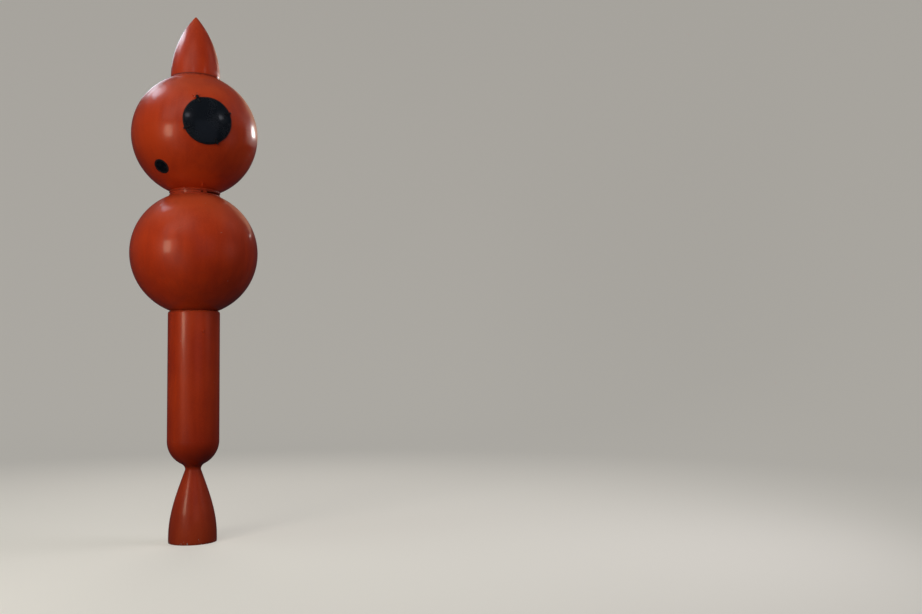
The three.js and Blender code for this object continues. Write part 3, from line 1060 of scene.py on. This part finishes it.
# %% Hinge
hinge_turn = clip_turn + 90
hinge_reach = 0.262
hinge_height = rim_top + 0.002
knuckle_radius = 0.009
bore = 0.0053
leaf_half = 0.012
leaf_middle = 0.2210
leaf_reach = 0.0345
leaf_foot = 0.018
ear_half = 0.006
ear_middle = leaf_half + 0.001 + ear_half
ear_foot = 0.030
bracket_out = hinge_reach + 0.028
bracket_lean = math.degrees(math.asin(bracket_out / cabin_radius))

hinge_place = spun(hatch_place, hinge_turn)


def across_hinge(x, height, lean=0.0):
    """A place whose outward axis lies along the pin, turned about the pin by the lean."""
    (right, up, out), origin = shifted(hinge_place, x, 0, height, lean)
    return np.stack([out, right, up]), origin


knuckle = lug(bore, knuckle_radius, leaf_half, leaf_foot)
leaf = [
    strap(hinge_place, leaf_reach, leaf_middle),
    put(knuckle, across_hinge(hinge_reach, hinge_height, strap_lean)),
    *bolt(on_strap(hinge_place, strap_start + strap_half)),
    *bolt(on_strap(hinge_place, strap_middle)),
]
piece("hinge_leaf_strap", leaf, [steel], body="hatch", slot="dark_steel", stands_for=["hinge_leaf"])

# %% Bracket and pin
base_radius = 0.017
base_depth = 0.006
base_top = 0.0038
base_drawn = 0.014
bracket_screw = (0.006, 0.0255)
bracket_screw_height = 0.0016
pin_radius = 0.0047
pin_head_radius = 0.0068
pin_head = 0.003
pin_play = 0.0004

bracket_height = on_round(bracket_out, cabin_radius, 0.0)
bracket_place = shifted(hinge_place, bracket_out, 0, bracket_height, bracket_lean)
ear_lean = -math.degrees(math.atan2(hinge_height - bracket_height, bracket_out - hinge_reach))
base = slab(base_radius, -base_depth, base_top, 0.001, (base_drawn, base_drawn))
ear = lug(bore, knuckle_radius, ear_half, ear_foot)
screw = slab(screw_radius, 0, bracket_screw_height, screw_edge, columns=24)
bracket = [put(base, bracket_place)]
for side in (-1, 1):
    ear_place = shifted(across_hinge(hinge_reach, hinge_height, 180 - ear_lean), 0, 0, side * ear_middle)
    bracket.append(put(ear, ear_place))
    screw_place = shifted(bracket_place, bracket_screw[0], side * bracket_screw[1], base_top)
    bracket.append((put(screw, screw_place), 1))
piece("hinge_bracket_ears", bracket, [hull, steel], stands_for=["hinge_bracket"])

pin_half = ear_middle + ear_half
pin_outline = rounded([
    (0, -pin_half - pin_head, 0),
    (pin_head_radius, -pin_half - pin_head, 0.0012),
    (pin_head_radius, -pin_half - pin_play, 0.0005),
    (pin_radius, -pin_half - pin_play, 0),
    (pin_radius, pin_half + pin_head, 0.0012),
    (0, pin_half + pin_head, 0),
], 4)
pin = put(turned(pin_outline, 40), across_hinge(hinge_reach, hinge_height))
piece("hinge_pin_bar", [pin], [zinc], slot="pin_steel", stands_for=["hinge_pin"])

# %% [markdown]
# ## The port
# The port is a small round pane low on the cabin's left. Its steel rim is let into the shell and
# held by twelve screws, and a rubber ring lies between rim and glass. The pane could be a flat disc,
# but a slight dome catches the light, which makes it look like glass.

# %% Port
rim_width = 0.016
rim_depth = 0.010
rim_inner = port_radius - rim_width
port_out = on_round(port_radius, cabin_radius, 0.0)
port_columns = 128
screw_count = 12
port_rim_outline = closed(rounded([
    (rim_inner + air, port_out - rim_depth, 0.001),
    (port_radius - air, port_out - rim_depth, 0.001),
    (port_radius - air, port_out + 0.003, 0.0018),
    (rim_inner + air, port_out + 0.004, 0.0018),
], 4))
port_grids = [put(turned(port_rim_outline, port_columns), port_place)]
port_screw = slab(screw_radius, -0.001, 0.0013, screw_edge, columns=20)
for number in range(screw_count):
    spoke = spun(port_place, 360 * (number + 0.5) / screw_count)
    screw_place = shifted(spoke, rim_inner + rim_width / 2, 0, port_out + 0.0034)
    port_grids.append(put(port_screw, screw_place))
piece("port_rim", port_grids, [steel], slot="dark_steel", stands_for=["porthole_rim"])

# %% Pane and gasket
pane_radius = rim_inner - 0.002
pane_depth = 0.008
pane_top = port_out + 0.006
pane_rise = 0.004
gasket_radius = 0.0022
pane_outline = rounded([
    (0, port_out - pane_depth, 0),
    (pane_radius, port_out - pane_depth, 0.001),
    *corners_of(cap_rows(pane_radius, pane_rise, pane_top, 16)),
])
pane = put(turned(pane_outline, port_columns), port_place)
piece("port_pane", [pane], [smoked], slot="port_gloss", stands_for=["porthole_pane"])

gasket_middle = (rim_inner - 0.0012, port_out + gasket_radius)
gasket_outline = arc_rows(gasket_middle, gasket_radius, 0, 360, 10)
gasket = put(turned(gasket_outline, port_columns), port_place)
piece("port_gasket", [gasket], [seal_rubber], slot="dark_steel")

# %% [markdown]
# ## The neck
# Between cabin and tank is a low ring with a lip above it and a flange below. The ring has a long
# slot and a small round vent, which both start at the flange, so its lower edge climbs over them. The
# wall is again what lies between two curves, here on a cylinder: a point is an azimuth and a height.

# %% Edges of the openings
vent_height = 3.583
vent_radius = 0.011
slot_top = vent_height + 0.0085
vent_azimuth = 5.5
slot_azimuths = (17.0, 79.0)
neck_low = low("neck_ring")
neck_high = high("neck_ring")
slot_corner = 0.008
opening_spread = 1.6
over_points = 26
degree = neck_radius * math.pi / 180


def climb(start, end, top, corner, steps=6):
    """The two sides of an opening as (azimuth, height): straight up, then an arc to the top."""
    turn = np.radians(np.linspace(180, 90, steps + 1))
    arc_azimuth = start + corner / degree * (1 + np.cos(turn))
    arc_height = top - corner * (1 - np.sin(turn))
    side_height = np.linspace(neck_low, top - corner, steps, endpoint=False)
    side = np.stack([np.full(steps, start), side_height], axis=1)
    half = np.concatenate([side, np.stack([arc_azimuth, arc_height], axis=1)])
    back = half[::-1] * [-1, 1] + [start + end, 0]
    return half, back


def opening(start, end, top, corner):
    """The wall's lower edge round one opening, and the upper edge's azimuths over it.

    The upper edge is spread as the run along the lower one: azimuth = first + run x whole width.
    """
    half, back = climb(start, end, top, corner)
    across = np.linspace(half[-1, 0], back[0, 0], over_points)[1:-1]
    flat = np.stack([across, np.full(len(across), top)], axis=1)
    edge = np.concatenate([half, flat, back])
    step = np.hypot(np.diff(edge[:, 0]), np.diff(edge[:, 1]) / degree)
    run = np.concatenate([[0], np.cumsum(step)]) / step.sum()
    over = start - opening_spread + run * (end - start + 2 * opening_spread)
    return edge, over


vent_half = vent_radius / degree
vent_left = vent_azimuth - vent_half
vent_right = vent_azimuth + vent_half
vent_edge, vent_over = opening(vent_left, vent_right, vent_height + vent_radius, vent_radius * 0.98)
slot_edge, slot_over = opening(*slot_azimuths, slot_top, slot_corner)
print("points round the vent and the slot:", len(vent_edge), len(slot_edge))

# %% The neck's wall
between_points = 8
rest_points = 140
neck_rows = 11
between = np.linspace(vent_right, slot_azimuths[0], between_points)[1:-1]
rest = np.linspace(slot_azimuths[1], 360 + vent_left, rest_points)[1:]
plain_between = np.stack([between, np.full(len(between), neck_low)], axis=1)
plain_rest = np.stack([rest, np.full(len(rest), neck_low)], axis=1)
lower_edge = np.concatenate([vent_edge, plain_between, slot_edge, plain_rest])
between_over = np.linspace(vent_over[-1], slot_over[0], len(between) + 2)[1:-1]
rest_over = np.linspace(slot_over[-1], 360 + vent_over[0], len(rest) + 1)[1:]
upper_azimuth = np.concatenate([vent_over, between_over, slot_over, rest_over])
upper_edge = np.stack([upper_azimuth, np.full(len(upper_azimuth), neck_high)], axis=1)
share = np.linspace(0, 1, neck_rows)[:, None, None]
neck_wall_points = (1 - share) * lower_edge + share * upper_edge
neck_azimuth = np.radians(neck_wall_points[..., 0])
neck_grid = np.stack([
    neck_radius * np.sin(neck_azimuth),
    -neck_radius * np.cos(neck_azimuth),
    neck_wall_points[..., 1],
], axis=-1)
shell("neck_wall", [neck_grid], neck_wall, stands_for=["neck_ring"])

# %% Lip above and flange below
lip_thick = 0.0127
lip_low = low("cabin_bulkhead")
lip_high = lip_low + lip_thick
bulkhead_high = high("cabin_bulkhead")
plate_high = bulkhead_high + 0.0035
lip_outline = rounded([
    (0, lip_low, 0),
    (lip_radius, lip_low, 0.003),
    (lip_radius, lip_high, 0.004),
    (neck_radius, lip_high, 0.003),
    (neck_radius, bulkhead_high - 0.001, 0.003),
    (neck_top_radius + 0.010, plate_high, 0),
    (0, plate_high, 0),
])
piece("bulkhead", [turned(lip_outline)], [hull], stands_for=["cabin_bulkhead"])

flange_low = low("tank_flange")
flange_high = high("tank_flange")
flange_toe = flange_radius + 0.008
neck_flange_outline = closed(rounded([
    (neck_radius - neck_wall, flange_low, 0),
    (flange_toe, on_round(flange_toe, tank_radius, tank_z) - sunk, 0),
    (flange_radius, flange_low + 0.0010, 0.006),
    (flange_radius, flange_high, 0.003),
    (neck_radius - neck_wall, flange_high, 0.001),
]))
piece("neck_flange", [turned(neck_flange_outline)], [hull], stands_for=["tank_flange"])

# %% [markdown]
# ## Tank, motor and nozzle
# The tank is a round body cut off flat for its neighbours. The motor is a straight case with a
# rounded shoulder, and its lower end is half a ball that runs in a smooth curve into the throat. That
# curve and the side of the bell are each drawn through the air towards one or two points that they
# never reach, which keeps them smooth from end to end.

# %% Tank and motor
def curve(points, steps):
    """Rows on a smooth curve from the first point to the last, drawn towards those between.

    Each row of neighbours a, b is blended as (1 - t) a + t b, again and again, until one is left.
    """
    t = np.linspace(0, 1, steps + 1)[:, None]
    rows = [np.array(point, float) for point in points]
    while len(rows) > 1:
        rows = [(1 - t) * a + t * b for a, b in zip(rows, rows[1:])]
    return rows[0]


tank_top_turn = math.degrees(math.acos(flange_radius / tank_radius))
tank_foot = motor_radius - motor_shoulder
tank_foot_turn = math.degrees(math.acos(tank_foot / tank_radius))
tank_columns = 224
tank_side = arc_rows((0.0, tank_z), tank_radius, -tank_foot_turn, tank_top_turn, 120)
tank_rows = np.concatenate([[(0, low("tank"))], tank_side, [(0, high("tank"))]])
piece("tank_skin", [turned(tank_rows, tank_columns)], [hull], stands_for=["tank"])

case_low = low("motor_case")
case_high = high("motor_case")
# two more rows, so that the long side isn't one row of very long faces
case_rows = (case_low + 0.3, case_low + 0.7)
case_outline = rounded([
    (0, case_low, 0),
    (motor_radius, case_low, 0),
    *[(motor_radius, height, 0) for height in case_rows],
    (motor_radius, case_high, motor_shoulder),
    (0, case_high, 0),
], 12)
piece("motor_case_skin", [turned(case_outline)], [hull], stands_for=["motor_case"])

# %% Aft dome and throat
dome_z = high("motor_aft_dome")
throat_top = high("nozzle_throat")
leave_turn = -62.0
dome_side = arc_rows((0.0, dome_z), motor_radius, 0, leave_turn, 60)
leave_slope = math.tan(math.radians(leave_turn))
control_height = dome_side[-1, 1] + (dome_side[-1, 0] - throat_radius) / leave_slope
throat_low = low("nozzle_throat")
waist = curve([dome_side[-1], (throat_radius, control_height), (throat_radius, throat_low)], 48)
dome_part = waist[waist[:, 1] > throat_top]
throat_part = waist[waist[:, 1] <= throat_top]
meeting = np.interp(throat_top, waist[::-1, 1], waist[::-1, 0])
dome_rows_down = np.concatenate([
    [(0, dome_z)], dome_side, dome_part[1:], [(meeting, throat_top), (0, throat_top)]
])
throat_rows = np.concatenate([[(0, throat_top), (meeting, throat_top)], throat_part, [(0, throat_low)]])
piece("aft_dome", [turned(dome_rows_down)], [hull], stands_for=["motor_aft_dome"])
piece("throat", [turned(throat_rows)], [hull], stands_for=["nozzle_throat"])

# %% Bell
bell_top = high("nozzle_bell")
bell_drawn_to = [(0.187, 0.435), (0.250, 0.255)]
foot_round = 0.003
outside = curve([(throat_radius, bell_top), *bell_drawn_to, (exit_radius, 0.0)], 72)
heading_down = unit(np.gradient(outside, axis=0))
inward = np.stack([heading_down[:, 1], -heading_down[:, 0]], axis=1)
inside = outside + bell_wall * inward
inside[0] = (throat_radius - bell_wall, bell_top)
inside[-1] = (exit_radius - bell_wall, 0.0)
outer_foot = (exit_radius, 0.0, foot_round)
inner_foot = (exit_radius - bell_wall, 0.0, foot_round)
foot_middle = (exit_radius - bell_wall / 2, 0.0, 0)
bell_side = rounded([*corners_of(outside[:-1]), outer_foot, foot_middle])
bell_inside = rounded([*corners_of(inside[:-1]), inner_foot, foot_middle])
bell_top_edge = np.stack([bell_inside[0], bell_side[0]])
bell_grids = [turned(bell_side), (turned(bell_inside[::-1]), 1), turned(bell_top_edge)]
piece("bell", bell_grids, [hull, bare_laminate], stands_for=["nozzle_bell"])

# %% [markdown]
# ## Drilled eyes
# Three drilled lugs under the cabin and three high on the motor each take the pin of a shackle, to
# steady such a tall craft. A torus would do from far off, but a real lug is a plate with a hole, so it
# is the same drilled ear as the hinge's. Each stands on a round pad, and a bead of filler softens the
# corner.

# %% Eyes
cabin_eye_azimuths = (1.3, 146.3, 216.3)
motor_eye_azimuths = (8.7, 148.7, 228.7)
cabin_eye_elevation = -59.8
motor_eye_height = 2.146
eye_hole = 0.0065
eye_radius = 0.012
eye_half = 0.003
eye_reach = 0.024
pad_radius = 0.016
pad_height = 0.004
bead_radius = 0.008
bead_waist = 0.0036
bead_top = 0.0028
bead_height = 0.005
bead_drawn = 0.0078


def eye(name, place, reach):
    """A drilled lug on a pad, with a bead of filler, at that reach out from the place's origin."""
    (right, up, out), _ = place
    _, middle = shifted(place, 0, 0, reach + eye_reach)
    ear = put(lug(eye_hole, eye_radius, eye_half, eye_reach), (np.stack([up, out, right]), middle))
    pad_outline = rounded([
        (0, -pad_height, 0),
        (pad_radius, -pad_height, 0),
        (pad_radius, pad_height, 0.0025),
        (0, pad_height, 0),
    ], 4)
    foot = shifted(place, 0, 0, reach)
    pad = put(turned(pad_outline, small_columns), foot)
    bead_outline = rounded([
        (0, pad_height - 0.001, 0),
        (bead_radius, pad_height - 0.001, 0),
        (bead_waist, pad_height + 0.0005, 0.0022),
        (bead_top, pad_height + bead_height, 0),
        (0, pad_height + bead_height, 0),
    ], 4)
    bead = put(turned(bead_outline, small_columns, (bead_drawn, bead_drawn)), foot)
    piece(f"{name}_lug", [ear, pad, bead], [hull], stands_for=[name])


for number, azimuth in enumerate(cabin_eye_azimuths, 1):
    eye(f"cabin_eye_{number}", facing((azimuth, cabin_eye_elevation), cabin_z), cabin_radius)
for number, azimuth in enumerate(motor_eye_azimuths, 1):
    eye(f"motor_eye_{number}", facing((azimuth, 0.0), motor_eye_height), motor_radius)

# %% [markdown]
# ## The backdrop
# The rocket stands on a studio sweep: a pale floor that curves up into a wall all round, so there is
# no corner and no line behind the object. Two things make it easy to light. It glows a little by
# itself, so it stays pale far out, and it is hidden from the rays that light the hull, so a pale
# floor doesn't wash out the dark undersides, which are what makes a round body look round.

# %% Sweep
sweep_radius = 18.0
sweep_bend = 7.0
sweep_height = 30.0
sweep_pale = (0.57, 0.54, 0.49, 1)
sweep_glow = 0.60
sweep_columns = 128


def pale_sweep():
    """Plain matt paper."""
    finish = Finish("pale paper", Base_Color=sweep_pale, Roughness=0.8, IOR=1.3)
    finish.shader.inputs["Emission Color"].default_value = sweep_pale
    finish.shader.inputs["Emission Strength"].default_value = sweep_glow
    return finish.material


sweep_rows = rounded([(0, 0, 0), (sweep_radius, 0, sweep_bend), (sweep_radius, sweep_height, 0)], 24)
sweep_grid = turned(sweep_rows, sweep_columns)
sweep_faces = quads(*sweep_grid.shape[:2], 0)
sweep_mesh = bpy.data.meshes.new("sweep")
sweep_mesh.from_pydata(sweep_grid.reshape(-1, 3).tolist(), [], sweep_faces.tolist())
close_up(sweep_mesh)
sweep_mesh.materials.append(pale_sweep())
sweep = bpy.data.objects.new("sweep", sweep_mesh)
bpy.context.scene.collection.objects.link(sweep)
sweep.visible_diffuse = False
sweep.visible_glossy = False
sweep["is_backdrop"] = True
print("sweep is", 2 * sweep_radius, "m across")

# %% [markdown]
# ## Light
# Broad soft lamps, mostly from the left, do the shading, and one behind keeps the far side from going
# black. What makes enamel look like enamel is what it mirrors, so the other lamps show only in the
# gloss: cards behind the hull draw bright lights where it turns away, and dim cards in front leave
# soft spots on each round body. Each is placed by the direction that it comes from, seen from a
# height on the axis. A narrow spread keeps a lamp's light on the part that it is aimed at. One
# picture wrapped round the scene could do it all, but nothing in it could be moved. The surroundings
# are nearly black, a little paler above, for the gloss to mirror where there is no card.

# %% Lamps
middle = 3.4
hatch_height = 4.23
crown = 4.8
lamps = [
    # name, aim height, azimuth, elevation, distance, width, height, spread, watts, colour, what it does
    ("key", middle, -34, 46, 7.5, 4.0, 4.0, 180, 140, (1.00, 1.06, 1.00), "shading"),
    ("low key", middle, -54, 3, 7.5, 3.0, 3.0, 180, 190, (1.00, 0.98, 0.92), "shading"),
    ("low light on the tank", 2.75, -42, -14, 7.5, 1.4, 1.2, 18, 0.5, (1.00, 0.80, 0.70), "shading"),
    ("high on the left", middle, -90, 62, 7.5, 3.0, 3.0, 180, 58, (1.00, 1.20, 1.20), "shading"),
    ("bounce from the floor", middle, -42, -22, 7.5, 4.0, 1.0, 180, 26, (1.00, 0.80, 0.80), "shading"),
    ("low on the right", middle, 52, 2, 7.5, 3.0, 3.0, 180, 72, (1.00, 0.96, 1.06), "shading"),
    ("fill on the right", middle, 72, 38, 7.5, 3.0, 3.0, 180, 102, (1.00, 1.04, 1.10), "shading"),
    ("fill behind", middle, 165, 35, 7.5, 4.0, 4.0, 180, 150, (1.00, 0.96, 0.92), "shading"),
    ("card high on the left", middle, -120, 57, 4.5, 1.2, 1.1, 180, 9, (0.84, 0.86, 1.00), "gloss"),
    ("first card behind", crown, -120, 46, 4.5, 1.0, 0.9, 26, 0.20, (0.72, 0.86, 1.00), "gloss"),
    ("second card behind", crown, -137, 43, 4.5, 1.3, 0.9, 26, 0.40, (0.72, 0.86, 1.00), "gloss"),
    ("third card behind", crown, -155, 36, 4.5, 1.3, 0.9, 26, 0.45, (0.78, 0.88, 1.00), "gloss"),
    ("fourth card behind", crown, -175, 27, 4.5, 1.5, 1.1, 26, 0.42, (0.78, 0.88, 1.00), "gloss"),
    ("card on the right", 4.9, 122, 11, 8.3, 2.8, 1.5, 18, 3.8, (1.00, 0.98, 0.95), "gloss"),
    ("broad card on the right", middle, 141, 27, 9.0, 5.0, 3.5, 180, 34, (1.00, 0.62, 0.38), "gloss"),
    ("tall card on the left", middle, -58, 3, 8.6, 2.0, 2.8, 180, 60, (1.00, 0.86, 0.62), "gloss"),
    ("faint card on the left", middle, -60, 33, 8.0, 3.0, 3.0, 180, 10, (0.75, 1.00, 0.95), "gloss"),
    ("faint card in front", middle, 8, 4, 8.0, 5.0, 5.0, 180, 9, (0.70, 0.78, 1.00), "gloss"),
    ("small card on the left", hatch_height, -22, 23, 7.7, 0.9, 0.9, 14, 0.034, (0.90, 0.88, 1.00), "gloss"),
    ("small card on the right", hatch_height, 33, 23, 7.7, 0.9, 0.9, 14, 0.040, (0.88, 0.90, 1.00), "gloss"),
]
for name, aim, azimuth, elevation, distance, width, height, spread, watts, colour, work in lamps:
    data = bpy.data.lights.new(name, "AREA")
    data.shape = "RECTANGLE"
    data.size = width
    data.size_y = height
    data.spread = math.radians(spread)
    data.energy = watts
    data.color = colour
    lamp = bpy.data.objects.new(name, data)
    bpy.context.scene.collection.objects.link(lamp)
    out = toward(azimuth, elevation)
    side = unit(np.cross([0, 0, 1], out))
    turn = np.eye(4)
    turn[:3, :3] = np.stack([side, np.cross(out, side), out], axis=1)
    turn[:3, 3] = np.array([0.0, 0.0, aim]) + distance * out
    lamp.matrix_world = turn.T.tolist()
    lamp.visible_camera = False
    lamp.visible_diffuse = work == "shading"
    lamp.visible_glossy = work == "gloss"

print(len(lamps), "lamps")

# %% Surroundings
dark_below = (0.014, 0.018, 0.024, 1)
pale_above = (0.042, 0.050, 0.060, 1)
world = bpy.data.worlds.new("surroundings")
bpy.context.scene.world = world
world.use_nodes = True
paper = Signal(world.node_tree)
background = world.node_tree.nodes["Background"]
direction = paper.node("ShaderNodeTexCoord", {}, output="Object")
up = paper.node("ShaderNodeSeparateXYZ", {0: direction}, output="Z")
shade = up.fade(-0.4, 0.8).blend(dark_below, pale_above)
world.node_tree.links.new(shade.socket, background.inputs["Color"])
bpy.context.scene.view_settings.view_transform = "Standard"
print("surroundings:", world.name)

# %% [markdown]
# ## Close
# The sizes of the frame's box and of the finished model's box are printed one after the other.

# %% Finish
visual_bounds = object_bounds()
sizes = {
    "cad": [list(corner) for corner in cad_bounds],
    "visual": [list(corner) for corner in visual_bounds],
}
for name, (lowest, highest) in sizes.items():
    print(name, "size:", [round(b - a, 4) for a, b in zip(lowest, highest)])
